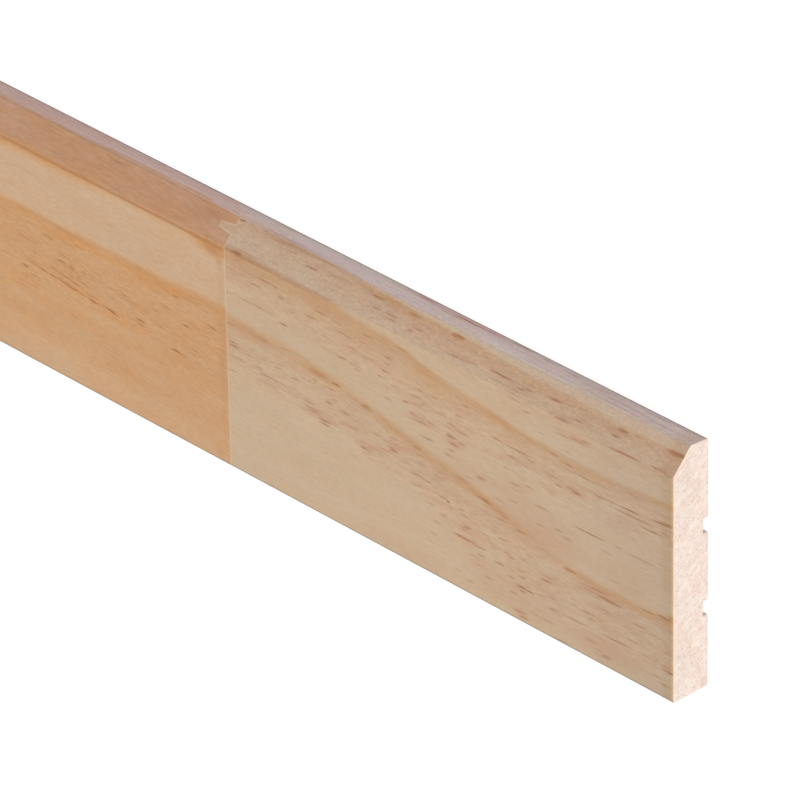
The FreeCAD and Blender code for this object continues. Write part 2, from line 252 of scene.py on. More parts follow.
# The two blocks in view. A band is a growth ring's dark part: line is the height of its upper
# edge on the face at distances from the near end, tone how amber the wood is at so many
# millimetres below that line, and flecks how many resin flecks it has there. breadth widens
# the tone at the far end and at the near end, and strength is how plain the band is at places
# along the board. splay and edge are those surfaces' tints against the face, and footLine is
# the brown line at the splay's foot. A mark is one streak or soft patch that stands out: its
# place along and up the board, its length, its width and how strong it is. Heights run on up
# the splay and, above the board's height, back across the top edge. slope is how far the
# streaks climb for each millimetre.
viewed = {
    "block_1": {
        "cream": tone(0.782, 0.676, 0.558),
        "amber": tone(0.748, 0.575, 0.405),
        "splay": (0.965, 0.975, 1.05),
        "splayMottle": 0.1,
        "plainness": 1.25,
        "tint": 1.35,
        "edge": (1.12, 1.215, 1.60),
        "nearTint": (0.995, 1.012, 1.045),   # greyer towards the near end
        "mottle": 0.045,
        "footLine": {
            "height": 59.8,
            "strength": [(-152, 0.75), (-135, 0.55), (-115, 0.45), (-104, 0.0), (0, 0.0)],
        },
        "slope": 0.02,
        "bands": [
            {
                "line": [
                    (-152, 78), (-112, 75), (-100, 72.6), (-75, 71.4), (-54, 70), (-30, 68.6),
                    (0, 68.4),
                ],
                "strength": [(-152, 1.0), (-60, 1.0), (-25, 0.85), (0, 0.8)],
                "tone": [(-1.5, 0.0), (0.0, 0.55), (1.5, 0.75), (4.0, 0.45), (10.0, 0.1), (16.0, 0.0)],
                "flecks": [(-1.0, 0.0), (0.5, 0.6), (9.0, 0.5), (16.0, 0.1)],
            },
            {
                "line": [
                    (-152, 60.3), (-125, 59.8), (-112, 59.1), (-100, 58.0), (-88, 57.0), (-82, 55.3),
                    (-70, 53.7), (-60, 52.8), (-50, 51.5), (-40, 50.9), (-30, 50.6), (-20, 50.8),
                    (-10, 51.3), (0, 52.2),
                ],
                "breadth": (2.6, 0.7),
                "strength": [
                    (-152, 0.75), (-125, 0.8), (-110, 0.95), (-98, 1.0), (-85, 1.0), (-78, 1.05),
                    (-65, 1.0), (-50, 0.9), (-40, 0.8), (-25, 0.75), (-12, 0.65), (0, 0.75),
                ],
                "tone": [
                    (-0.6, 0.0), (0.1, 0.8), (0.9, 0.95), (2.0, 0.55), (3.6, 0.2), (8.0, 0.05),
                    (16.0, 0.0),
                ],
                "flecks": [(0.0, 0.0), (1.5, 0.5), (9.0, 0.65), (15.0, 0.2), (16.0, 0.0)],
            },
            {
                "line": [
                    (-152, 43.0), (-140, 41.8), (-126, 41.4), (-112, 39.7), (-100, 37.8), (-90, 35.3),
                    (-80, 33.2), (-70, 31.4), (-60, 29.1), (-50, 26.3), (-40, 24.1), (-30, 22.2),
                    (-20, 21.3), (-10, 21.4), (0, 22.6),
                ],
                "breadth": (1.25, 0.8),
                "strength": [
                    (-152, 0.85), (-138, 0.95), (-125, 0.75), (-117, 0.9), (-106, 0.7), (-96, 0.9),
                    (-90, 0.95), (-80, 0.8), (-70, 1.0), (-61, 0.95), (-50, 0.8), (-42, 0.65),
                    (-32, 0.85), (-20, 1.0), (-10, 0.9), (0, 0.95),
                ],
                "tone": [
                    (-1.0, 0.0), (0.3, 0.6), (1.3, 0.95), (2.2, 0.75), (3.6, 0.25), (8.0, 0.14),
                    (15.0, 0.0),
                ],
                "flecks": [(0.5, 0.0), (3.0, 0.6), (13.0, 0.65), (16.0, 0.1), (18.0, 0.0)],
            },
        ],
        "darkMarks": [
            # on the face
            (-144.5, 60, 5, 1.1, 0.9), (-134.5, 56.4, 8, 0.5, 0.6), (-138, 54, 7, 0.5, 0.55),
            (-129, 54.1, 3, 0.7, 0.6), (-119, 53, 6, 0.5, 0.6), (-115.5, 55.5, 7, 0.5, 0.6),
            (-108.5, 53.1, 5, 0.5, 0.6), (-105, 50.4, 4, 0.5, 0.5), (-128.5, 47.2, 4.5, 0.5, 0.7),
            (-108.5, 46.3, 4.5, 0.5, 0.6), (-99, 49.9, 4, 0.4, 0.5), (-125.5, 51.5, 3, 0.5, 0.35),
            (-146.5, 34.9, 4, 0.5, 0.6), (-146, 34.1, 5, 0.5, 0.7), (-125, 33.9, 4, 0.6, 0.6),
            (-131, 34.3, 4, 0.4, 0.5), (-113.5, 32.1, 4, 0.6, 0.6), (-107.5, 31.6, 3.5, 0.5, 0.6),
            (-145, 31.2, 7, 0.8, 0.4), (-135.5, 30.4, 5, 0.5, 0.6), (-147, 27.1, 5, 0.6, 0.4),
            (-120, 29.4, 5, 0.6, 0.5), (-119, 27.5, 7, 0.6, 0.5), (-115, 26.5, 6, 0.6, 0.7),
            (-115, 25.6, 5, 0.5, 0.7), (-101, 24.6, 5, 0.7, 0.4), (-93, 52.8, 4, 0.6, 0.6),
            (-94, 48.8, 4, 0.7, 0.5), (-91, 46, 4, 0.5, 0.5), (-84, 46.1, 6, 0.5, 0.6),
            (-87, 43.3, 4, 0.5, 0.7), (-82, 39.9, 8, 0.5, 0.5), (-78.5, 41, 4, 0.5, 0.5),
            (-80, 36.5, 7, 0.5, 0.6), (-68.5, 42.8, 5, 0.5, 0.5), (-72, 40.2, 5, 0.6, 0.7),
            (-71, 38.6, 5, 0.5, 0.7), (-73, 34.9, 4, 0.5, 0.5), (-62.5, 33, 4, 0.6, 0.5),
            (-56, 29.8, 7, 0.4, 0.45), (-91.5, 28.2, 4, 0.6, 0.6), (-75, 22.5, 5, 0.6, 0.5),
            (-68, 20.6, 4, 0.5, 0.5), (-68, 17.4, 4, 1.1, 0.4), (-79, 19.2, 4, 0.6, 0.4),
            (-62.5, 12.2, 4, 0.5, 0.5), (-78.5, 11.2, 4, 0.6, 0.4), (-55, 19.8, 4, 0.5, 0.5),
            (-52.5, 16, 4, 0.5, 0.6), (-49, 13.8, 4, 0.5, 0.5), (-52.5, 10.7, 4, 0.5, 0.5),
            (-49, 9.5, 5, 0.6, 0.8), (-50, 45.8, 14, 0.5, 0.6), (-52, 43.4, 4, 0.5, 0.5),
            (-51, 36.3, 6, 0.5, 0.45), (-47, 57.3, 4, 0.5, 0.5), (-36.7, 42.1, 3, 0.5, 0.6),
            (-31, 42.6, 5, 0.9, 0.6), (-13.5, 45.4, 9, 0.5, 0.75), (-7, 42.8, 10, 0.5, 0.7),
            (-27, 33.6, 14, 0.45, 0.8), (-10, 33.8, 18, 0.4, 0.5), (-21.5, 31, 6, 0.6, 0.35),
            (-19, 24.2, 6, 0.5, 0.35), (-37, 30.1, 4, 0.6, 0.5), (-42.5, 29, 5, 0.5, 0.4),
            (-15.5, 59.5, 14, 0.8, 0.65), (-35.5, 60, 7, 0.9, 0.5), (-46, 19.1, 5, 0.5, 0.4),
            (-41, 14.7, 5, 0.6, 0.6), (-28, 12, 7, 0.5, 0.55), (-32, 8.2, 16, 0.45, 0.6),
            (-39, 7.8, 4, 0.9, 0.5), (-18, 8.5, 13, 0.5, 0.65), (-13, 10.9, 7, 0.5, 0.45),
            (-40.5, 3.9, 6, 0.5, 0.5), (-21.5, 2.8, 5, 0.9, 0.5), (-2, 7.6, 5, 0.7, 0.5),
            (-140, 56.3, 6, 0.5, 0.45), (-131, 56.2, 3, 0.5, 0.5), (-126.5, 53.7, 4, 0.5, 0.45),
            (-110.5, 55.2, 4, 0.5, 0.5), (-106, 52.9, 4, 0.5, 0.5), (-103.5, 45.2, 3.5, 0.5, 0.45),
            (-129, 35.7, 5, 0.5, 0.4), (-111.5, 33.6, 3, 0.5, 0.5), (-138, 31.7, 5, 0.5, 0.45),
            (-132, 28.1, 4, 0.4, 0.35), (-118, 36.4, 3, 0.5, 0.45), (-112, 36.2, 4, 0.5, 0.5),
            (-142, 48.3, 4, 0.4, 0.3), (-148, 48.4, 3, 0.4, 0.35), (-96, 46.7, 3.5, 0.6, 0.5),
            (-93, 51, 3, 0.5, 0.5), (-81.5, 44.9, 3, 0.5, 0.45), (-93, 41.7, 4, 0.6, 0.45),
            (-82, 48.4, 4, 0.5, 0.5), (-77.5, 48.5, 3, 0.5, 0.5), (-79, 50.8, 3, 0.4, 0.4),
            (-67, 50.5, 4, 0.5, 0.55), (-69.5, 46.9, 3, 0.6, 0.5), (-85, 41.1, 3, 0.6, 0.5),
            (-71.5, 43.6, 5, 0.5, 0.5), (-68.5, 39.8, 4, 0.5, 0.5), (-72, 36.6, 4, 0.6, 0.55),
            (-66, 31.7, 5, 0.5, 0.4), (-52, 31.5, 5, 0.5, 0.45), (-97, 30.2, 4, 0.6, 0.5),
            (-88, 26.7, 4, 0.5, 0.4), (-84, 25.1, 4, 0.5, 0.5), (-80, 24.7, 4, 0.5, 0.5),
            (-73.3, 22.1, 2, 0.7, 0.7), (-68.7, 21.9, 3, 0.6, 0.5), (-64.5, 22.6, 3, 0.5, 0.45),
            (-75, 17.7, 4, 0.6, 0.5), (-77, 14.9, 4, 0.5, 0.45), (-63, 14.1, 6, 0.4, 0.55),
            (-65, 11.1, 6, 0.4, 0.4), (-63, 9.4, 5, 0.5, 0.45), (-56.5, 12.7, 5, 0.8, 0.5),
            (-60, 7.2, 5, 0.5, 0.45), (-66.5, 3.6, 4, 0.5, 0.45), (-70, 5, 5, 0.5, 0.35),
            (-54, 16.6, 3, 0.5, 0.5), (-48.8, 8.4, 3, 0.6, 0.6), (-52, 6.8, 4, 0.5, 0.5),
            (-49.5, 2.4, 5, 0.5, 0.5), (-57, 45.9, 6, 0.5, 0.55), (-54, 39.5, 3, 0.8, 0.3),
            (-50, 35.1, 6, 0.4, 0.4), (-42, 53.7, 5, 0.5, 0.35), (-34, 52.5, 5, 0.4, 0.35),
            (-24, 48.3, 4, 0.5, 0.35), (-46, 44.8, 6, 0.5, 0.45), (-38.5, 45.5, 3, 0.5, 0.4),
            (-40, 43.6, 4, 0.5, 0.35), (-48, 42.9, 8, 0.4, 0.35), (-23, 44.8, 6, 0.6, 0.5),
            (-14, 44, 12, 0.5, 0.6), (-4, 46.1, 8, 0.5, 0.7), (-46.5, 37.6, 4, 0.6, 0.45),
            (-42, 34.1, 5, 0.4, 0.45), (-17.5, 33.9, 3, 0.6, 0.5), (-34, 29, 5, 0.9, 0.4),
            (-12, 24.8, 8, 0.4, 0.3), (-4, 35.2, 6, 0.5, 0.3), (-40, 15.9, 6, 0.5, 0.45),
            (-39, 10.8, 4, 0.5, 0.4), (-25, 4.9, 7, 0.4, 0.35), (-48.5, 1.4, 5, 0.5, 0.6),
            (-5, 60, 7, 0.6, 0.5), (-101.5, 24.8, 4, 0.6, 0.55), (-101, 23.7, 4, 0.5, 0.45),
            (-92, 28.8, 5, 0.5, 0.5), (-82, 28.5, 4, 0.5, 0.45), (-76, 28.9, 4, 0.5, 0.4),
            (-77, 27.3, 4, 0.5, 0.35), (-67, 17.9, 4, 0.5, 0.6), (-19, 11, 4, 0.5, 0.3),
            (-26, 10.9, 5, 0.5, 0.35), (-24, 3.4, 6, 0.6, 0.35), (-33, 14.5, 4, 0.5, 0.3),
            (-2.5, 3.4, 5, 0.9, 0.4), (-1.5, 12.4, 4, 0.7, 0.4), (-2.5, 46.4, 6, 0.5, 0.75),
            (-9, 44.3, 8, 0.4, 0.5), (-20, 45.1, 8, 0.4, 0.5), (-33, 43, 4, 0.5, 0.5),
            (-44, 33.9, 4, 0.4, 0.4), (-62, 33.4, 5, 0.4, 0.5), (-70, 14.6, 3, 0.5, 0.6),
            (-60, 27.4, 5, 0.4, 0.6), (-55.5, 24.8, 5, 0.5, 0.5), (-51.5, 31.4, 4, 0.4, 0.4),
            (-57, 30, 5, 0.3, 0.4), (-84, 40.9, 3, 0.4, 0.4), (-72.5, 40.6, 3, 0.4, 0.6),
            (-67, 42.9, 3, 0.4, 0.5), (-47, 10.4, 3, 0.4, 0.5), (-43, 9.9, 4, 0.4, 0.4),
            (-46.5, 9.4, 4, 0.4, 0.8), (-38, 8.1, 5, 0.4, 0.6), (-37, 7.3, 4, 0.4, 0.4),
            (-44.5, 4, 4, 0.4, 0.4), (-49, 12.1, 3, 0.4, 0.4), (-35, 12.2, 5, 0.3, 0.3),
            (-23, 7, 5, 0.3, 0.4), (-26.5, 5.1, 6, 0.4, 0.5), (-22, 2.3, 5, 0.4, 0.6),
            (-9, 8.8, 10, 0.3, 0.45), (-6, 7.3, 4, 0.3, 0.4), (-1, 7.6, 3, 0.5, 0.8),
            (-3, 3.8, 4, 0.5, 0.5), (-36, 0.7, 8, 0.4, 0.5), (-26, 12.1, 4, 0.3, 0.5),
            (-21, 11.1, 5, 0.3, 0.35), (-56, 9, 4, 0.4, 0.35), (-57.5, 16.4, 4, 0.4, 0.4),
            (-61, 18.4, 4, 0.4, 0.4), (-66, 13.2, 5, 0.3, 0.4), (-72, 20.9, 4, 0.4, 0.35),
            (-58, 22.2, 4, 0.4, 0.35), (-47.5, 16.9, 4, 0.4, 0.35), (-36, 5.9, 5, 0.3, 0.35),
            # on the splay
            (-147.2, 65.6, 3.4, 0.35, 0.9), (-129, 64.6, 5, 0.4, 0.4), (-99, 62.6, 5, 0.4, 0.5),
            (-93, 62, 5, 0.4, 0.5), (-48, 62, 5, 0.4, 0.5), (-31, 61.2, 5, 0.4, 0.5),
            (-122, 63.6, 6, 0.4, 0.55), (-100, 64.3, 7, 0.4, 0.6), (-94, 62.7, 7, 0.4, 0.5),
            (-85, 62.6, 4, 0.4, 0.5), (-70, 61.4, 11, 0.4, 0.5), (-57, 62.1, 12, 0.4, 0.7),
            (-50, 61.5, 4, 0.4, 0.6), (-39.5, 62.5, 5, 0.4, 0.6), (-20, 61.7, 4, 0.5, 0.6),
            (-87, 61.8, 3, 0.5, 0.5),
            # on the top edge
            (-90, 70.5, 9, 0.6, 0.7), (-74, 70, 17, 0.6, 0.8), (-58, 70.6, 10, 0.5, 0.65),
            (-49, 70.2, 7, 0.5, 0.65), (-41, 69.8, 8, 0.5, 0.6), (-22, 68.4, 22, 0.6, 0.45),
            (-24, 66.7, 27, 0.5, 0.5), (-7, 70.4, 9, 0.5, 0.4), (-118, 70.6, 14, 0.5, 0.25),
            (-136, 70.4, 12, 0.6, 0.25), (-64, 69.4, 12, 0.5, 0.3), (-30, 69.9, 14, 0.5, 0.3),
            (-80, 69.3, 24, 0.5, 0.5), (-66, 70.3, 14, 0.4, 0.6), (-34, 69, 18, 0.4, 0.5),
            (-14, 70, 12, 0.4, 0.6), (-12, 67.6, 16, 0.4, 0.45), (-52, 68.8, 12, 0.4, 0.4),
        ],
        "russetMarks": [
            # on the face
            (-137, 39.8, 11, 2.2, 0.5), (-128, 40.6, 5, 0.8, 0.55), (-117, 38.5, 9, 2.2, 0.6),
            (-110.8, 38.2, 4, 1, 1.1), (-100.5, 36.3, 6, 1.4, 0.8), (-83.5, 32.4, 5, 0.9, 0.8),
            (-82.5, 30.8, 5, 0.8, 0.6), (-68.5, 30.2, 6, 1.4, 0.5), (-61.5, 27.9, 7, 1.2, 0.9),
            (-54.5, 26.1, 5, 0.7, 0.7), (-49, 24.4, 5, 0.9, 0.8), (-33, 20.9, 5, 1, 1.3),
            (-25, 19.4, 12, 0.6, 0.9), (-20.5, 18.2, 9, 1, 1.3), (-3, 21.5, 7, 0.9, 1),
            (-97, 26.2, 8, 0.7, 0.5), (-67, 14.5, 8, 0.7, 1), (-88, 56.9, 6, 0.8, 0.7),
            (-101, 55.9, 6, 0.9, 0.5), (-38, 49.8, 4, 0.7, 1), (-34, 48.9, 7, 0.5, 0.85),
            (-28, 47.7, 8, 0.5, 0.9), (-35, 56, 7, 0.5, 0.7), (-30.5, 56.7, 7, 0.7, 0.9),
            (-28, 57.4, 4, 0.6, 0.9), (-99.5, 55.8, 5, 0.8, 0.8), (-94, 27.3, 6, 0.6, 0.5),
            (-91, 31.5, 4, 0.6, 0.6), (-119, 28.2, 9, 0.7, 0.6), (-68, 16.7, 5, 0.6, 0.5),
            (-51, 2.5, 5, 0.6, 0.5), (-0.8, 22.4, 3, 2, 0.5), (-26, 18.4, 10, 0.4, 0.8),
            (-8, 20.9, 9, 0.5, 0.9), (-1.5, 46.8, 4, 0.6, 0.7), (-57, 26.8, 9, 0.5, 0.8),
            (-49, 9.2, 7, 1.4, 0.35), (-70, 14.6, 6, 0.5, 0.7), (-1.5, 59.6, 4, 1.2, 0.4),
            (-140, 59.6, 18, 1.6, 0.5), (-126, 59.3, 14, 1.2, 0.4), (-144, 58.9, 6, 2.2, 0.45),
            # on the splay
            (-73.5, 64.6, 5.5, 0.9, 1.3), (-88, 64.5, 5, 0.8, 0.8), (-18.7, 63, 4.5, 0.9, 1),
            (-2, 63.7, 8, 1.2, 1.1), (-40, 62.6, 8, 0.9, 0.5), (-112, 64.2, 14, 0.6, 0.5),
            (-130, 65.5, 38, 1.1, 0.55), (-98, 64.9, 26, 1.6, 0.4), (-142, 60.8, 18, 0.9, 0.5),
            (-48, 62.8, 12, 0.6, 0.4), (-55, 60.9, 20, 0.7, 0.4), (-20, 62.4, 14, 1.6, 0.35),
        ],
        "blushMarks": [
            # on the face
            (-145, 34.3, 9, 3.5, 0.45), (-142, 31.2, 16, 2, 0.45), (-116.5, 27.5, 15, 4.5, 0.9),
            (-101, 25.3, 9, 4, 0.7), (-97, 27.2, 12, 2.5, 0.5), (-112.5, 33, 9, 3, 0.5),
            (-144, 54.7, 12, 3, 0.6), (-129, 54.2, 12, 2, 0.6), (-109, 53.7, 14, 3, 0.5),
            (-94, 50, 10, 5, 0.5), (-80, 49, 12, 5, 0.4), (-82, 40.6, 16, 3.5, 0.9),
            (-70, 42.6, 10, 3, 0.8), (-71, 39, 10, 4, 0.8), (-71, 35, 10, 3, 0.45),
            (-62, 33, 7, 2.5, 0.7), (-91, 29.8, 10, 5, 0.7), (-79, 25, 12, 3, 0.45),
            (-66, 19, 14, 5, 0.6), (-67, 14.5, 14, 2, 0.9), (-62, 10.5, 14, 4, 0.6),
            (-51, 43.4, 12, 3, 0.6), (-50, 36, 12, 2.5, 0.6), (-49.5, 2.5, 8, 4, 0.9),
            (-49, 9.3, 9, 3, 0.9), (-32, 42.4, 14, 2.5, 0.7), (-31, 56.8, 16, 2, 0.8),
            (-25, 45, 16, 2.5, 0.5), (-41, 15.5, 10, 3, 0.6), (-24, 13, 46, 9, 0.35),
            (-22, 5, 44, 9, 0.75), (-12, 44.7, 24, 3, 0.5), (-20, 59.5, 40, 1.5, 0.4),
            (-2, 20, 8, 6, 0.5), (-2, 8, 6, 4, 0.7), (-36, 30, 16, 3, 0.45), (-26, 48.6, 26, 3, 0.4),
            (-2, 38, 8, 44, 0.35), (-54, 13, 16, 12, 0.35), (-76, 29, 24, 3, 0.3),
            (-12, 50, 26, 4, 0.5), (-30, 50, 14, 3, 0.4), (-31, 57, 16, 3, 0.8),
            (-24, 18.6, 22, 4, 0.8), (-48, 57, 8, 2, 0.3), (-66, 14.5, 16, 3, 0.7),
            (-144, 57.5, 12, 4, 0.6), (-110, 28, 40, 6, 0.3), (-45, 27, 46, 16, 0.75),
            (-50, 7, 52, 16, 0.6), (-66, 15, 34, 10, 0.35), (-58, 33, 48, 7, 0.4),
            (-85, 3, 60, 8, 0.45), (-14, 26, 36, 16, 0.45),
            # on the splay
            (-118, 64.2, 18, 3, 0.7),
            # on the top edge
            (-72, 70.3, 70, 2.2, 0.9), (-30, 70, 60, 2, 0.3),
        ],
    },
    "block_2": {
        "cream": tone(0.792, 0.652, 0.518),
        "amber": tone(0.785, 0.575, 0.375),
        "splay": (0.885, 0.93, 1.24),
        "edge": (1.15, 1.26, 1.52),
        "mottle": 0.075,
        "tint": 1.7,
        "widen": 1.05,
        "plainness": 1.2,
        "footLine": {
            "height": 59.2,
            "strength": [(-560, 0.6), (-215, 0.7), (-190, 0.75), (-165, 0.75), (-148, 0.6)],
        },
        "upperArris": 0.84,
        "fleck": tone(0.61, 0.385, 0.19),
        "blush": tone(0.785, 0.575, 0.385),
        "slope": -0.07,
        "bands": [
            {
                "line": [
                    (-560, 74.6), (-470, 75.4), (-380, 76.8), (-290, 76.2), (-224, 75.6), (-204, 75.8),
                    (-192, 76.8), (-168, 77.4), (-161, 77.0), (-156, 74.8), (-148, 74.6),
                ],
                "tone": [(-1.0, 0.3), (0.0, 1.0), (15.0, 1.0), (17.0, 0.95), (18.6, 0.3), (20.0, 0.0)],
                "flecks": [(-1.0, 0.0), (0.5, 0.15), (15.0, 0.1), (18.0, 0.0)],
            },
            {
                "line": [
                    (-560, 38.6), (-500, 40.4), (-430, 39.2), (-350, 42.8), (-280, 41.4), (-224, 42.2),
                    (-190, 42.4), (-170, 42.6), (-158, 43.4), (-148, 43.0),
                ],
                "tone": [
                    (-0.9, 0.0), (0.5, 0.9), (2.0, 1.0), (5.0, 0.65), (22.0, 0.7), (32.0, 0.6),
                    (43.0, 0.35),
                ],
                "flecks": [(1.0, 0.0), (4.0, 0.3), (12.0, 0.5), (18.0, 0.3), (20.0, 0.0)],
            },
        ],
        "darkMarks": [
            # on the face
            (-207, 34.3, 6, 0.5, 0.5), (-208, 32.5, 5, 0.6, 0.6), (-201.5, 30.2, 3, 0.5, 0.6),
            (-206, 28.7, 10, 0.5, 0.6), (-206.5, 26.8, 11, 0.6, 0.65), (-215, 27.3, 8, 0.5, 0.5),
            (-196.8, 25.8, 5, 0.6, 0.9), (-190.5, 25.8, 6, 0.6, 0.9), (-185, 32.4, 6, 0.4, 0.6),
            (-183, 31.2, 9, 0.4, 0.5), (-179.5, 27.4, 4.5, 0.6, 0.9), (-179.5, 26.2, 5, 0.5, 0.7),
            (-189.5, 29.6, 4, 0.5, 0.5), (-163, 32.6, 3.5, 0.6, 0.8), (-166.5, 24.1, 4.5, 0.6, 0.9),
            (-159, 23.9, 4, 0.5, 0.5), (-160, 27, 4, 0.5, 0.5), (-153.5, 35.9, 3.5, 0.7, 0.7),
            (-166.5, 39.3, 3, 0.8, 0.5), (-218, 24.4, 5, 0.5, 0.5), (-220.5, 33.9, 7, 0.5, 0.5),
            (-199.5, 32.6, 2.5, 0.5, 0.6), (-196, 27.1, 5, 0.5, 0.4), (-170, 35.1, 6, 0.5, 0.4),
            (-201, 39.1, 5, 0.5, 0.4), (-221, 25.9, 3, 0.9, 0.7), (-213, 37.6, 5, 0.8, 0.45),
            (-172, 28.7, 6, 0.6, 0.4), (-219, 28.4, 8, 0.5, 0.45), (-210, 29, 6, 0.4, 0.4),
            (-216.5, 30.8, 4, 0.5, 0.3), (-187, 29.4, 6, 0.4, 0.35), (-192, 32.2, 10, 0.4, 0.3),
            (-203, 28.1, 5, 0.4, 0.4), (-178, 39, 5, 0.6, 0.35), (-194, 39.6, 5, 0.5, 0.3),
            (-163, 20.9, 7, 0.4, 0.3), (-171, 22, 5, 0.4, 0.25), (-157, 32.6, 4, 0.5, 0.3),
            (-162, 37.1, 4, 0.5, 0.3), (-222, 22.9, 5, 0.4, 0.35), (-183, 26.7, 5, 0.4, 0.4),
            (-152, 29.5, 3, 0.5, 0.3), (-156, 39.6, 5, 0.6, 0.3), (-204, 26.4, 6, 0.5, 0.8),
            (-211, 27.1, 5, 0.5, 0.8), (-207.5, 28.9, 5, 0.4, 0.6), (-202.5, 28.2, 4, 0.4, 0.6),
            (-184.5, 32.3, 4, 0.4, 0.6), (-193, 32.5, 14, 0.3, 0.5), (-221.5, 26, 3, 0.7, 0.8),
            (-208, 32.7, 3, 0.4, 0.6), (-219, 27.9, 7, 0.4, 0.6), (-214.5, 27.4, 6, 0.4, 0.7),
            (-200.5, 26, 3, 0.4, 0.6), (-198, 27, 5, 0.4, 0.5), (-188.5, 25.4, 5, 0.4, 0.7),
            (-178, 30.9, 6, 0.3, 0.4), (-168, 23.8, 3, 0.4, 0.5), (-164.5, 24, 4, 0.4, 0.6),
            (-210.5, 29.3, 4, 0.4, 0.6), (-222, 34, 5, 0.4, 0.6), (-217, 33.7, 5, 0.3, 0.4),
            (-174, 29.2, 6, 0.3, 0.4), (-161.5, 32.5, 4, 0.4, 0.5), (-155, 36.2, 3, 0.4, 0.6),
            (-150.5, 31, 4, 0.4, 0.4), (-150.5, 27.5, 4, 0.4, 0.4), (-165, 39.6, 4, 0.4, 0.5),
            (-211.5, 37.2, 4, 0.4, 0.5),
            # on the top edge
            (-184, 69.6, 34, 1, 0.25), (-158, 69.9, 12, 0.6, 0.25), (-151.5, 66.8, 5, 0.5, 0.5),
            (-206, 70.3, 16, 0.6, 0.2),
        ],
        "russetMarks": [
            # on the face
            (-153, 57.6, 9, 5, 0.5), (-150.5, 55, 4, 8, 0.4), (-176, 31.9, 4, 0.8, 0.4),
            (-208, 41.6, 40, 1.6, 0.35), (-176, 41.6, 44, 1.6, 0.25), (-154, 41.6, 12, 2, 0.35),
            (-204, 32.1, 3, 2.6, 0.7), (-150, 30, 5, 70, 0.3), (-221, 40, 8, 7, 0.2),
            (-155, 13, 12, 26, 0.12), (-154.5, 59, 2, 6, 0.4), (-151.5, 58, 2, 7, 0.4),
            (-178, 8, 16, 7, 0.15), (-152, 2.5, 5, 5, 0.35),
            # on the splay
            (-160, 63, 20, 5, 0.3), (-156.5, 64.3, 14, 4, 0.5),
        ],
        "blushMarks": [
            (-206, 26.8, 22, 3.5, 0.9), (-195, 25.8, 20, 2.5, 0.8), (-180, 27, 12, 3, 0.8),
            (-166, 24, 10, 3, 0.6), (-206, 32.4, 12, 3.5, 0.6), (-184, 31.5, 18, 3, 0.5),
            (-160, 33, 12, 3, 0.5), (-153, 36, 8, 3, 0.6),
        ],
        "paleMarks": [
            (-215, 3.5, 40, 12, 0.55), (-194, 3, 24, 7, 0.3), (-163, 4.6, 9, 2.5, 0.4),
            (-210, 15.1, 5, 0.5, 0.7), (-199, 14.8, 3, 0.5, 0.6), (-190, 14.8, 2.5, 0.5, 0.5),
            (-182, 15.3, 5, 0.5, 0.5), (-219, 14.9, 4, 0.5, 0.4), (-172, 14.6, 4, 0.5, 0.35),
            (-206, 33.2, 7, 0.5, 0.4),
        ],
    },
}


# The blocks past the photograph's edge. Their rings turn about a pith, whose height and
# depth change slowly along the block. late is how amber one ring is from its start to its
# end, and flecks how many flecks it has.
hidden = {
    "block_3": {
        "cream": tone(0.785, 0.655, 0.545),
        "amber": tone(0.745, 0.57, 0.43),
        "splay": (0.95, 0.96, 1.0),
        "slope": 0.01,
        "pith": (-70, 20), "climb": (0.02, 0.0), "ringWidth": 6.5,
        "late": [(0.0, 0.05), (0.5, 0.1), (0.8, 0.45), (0.93, 0.9), (0.97, 0.85), (1.0, 0.05)],
        "flecks": 0.4,
    },
    "block_4": {
        "cream": tone(0.785, 0.675, 0.56),
        "amber": tone(0.755, 0.59, 0.43),
        "splay": (0.96, 0.965, 0.985),
        "slope": -0.01,
        "pith": (30, 64), "climb": (0.012, 0.09), "ringWidth": 9.0,
        "late": [(0.0, 0.0), (0.55, 0.1), (0.85, 0.4), (0.94, 0.9), (0.98, 0.8), (1.0, 0.0)],
        "flecks": 0.5,
    },
    "block_5": {
        "cream": tone(0.79, 0.65, 0.525),
        "amber": tone(0.775, 0.59, 0.42),
        "splay": (0.93, 0.95, 1.03),
        "slope": -0.04,
        "pith": (120, 34), "climb": (-0.03, 0.02), "ringWidth": 17.0,
        "late": [(0.0, 0.1), (0.3, 0.1), (0.6, 0.8), (0.97, 0.95), (1.0, 0.1)],
        "flecks": 0.45,
    },
    "block_6": {
        "cream": tone(0.785, 0.655, 0.55),
        "amber": tone(0.74, 0.57, 0.43),
        "splay": (0.95, 0.96, 1.0),
        "slope": 0.03,
        "pith": (10, -46), "climb": (0.05, -0.05), "ringWidth": 11.0,
        "late": [(0.0, 0.05), (0.6, 0.15), (0.88, 0.5), (0.95, 0.9), (1.0, 0.05)],
        "flecks": 0.55,
    },
    "block_7": {
        "cream": tone(0.79, 0.685, 0.575),
        "amber": tone(0.755, 0.59, 0.44),
        "splay": (0.97, 0.965, 0.985),
        "slope": -0.02,
        "pith": (84, 70), "climb": (0.03, -0.03), "ringWidth": 12.0,
        "late": [(0.0, 0.0), (0.7, 0.1), (0.9, 0.5), (0.96, 0.85), (1.0, 0.0)],
        "flecks": 0.5,
    },
}


# The growth rings lean back into the board behind the lines on the face
ringLean = 0.98            # for each millimetre of depth, just below the face
ringBend = 0.12            # and how much more for each millimetre further down


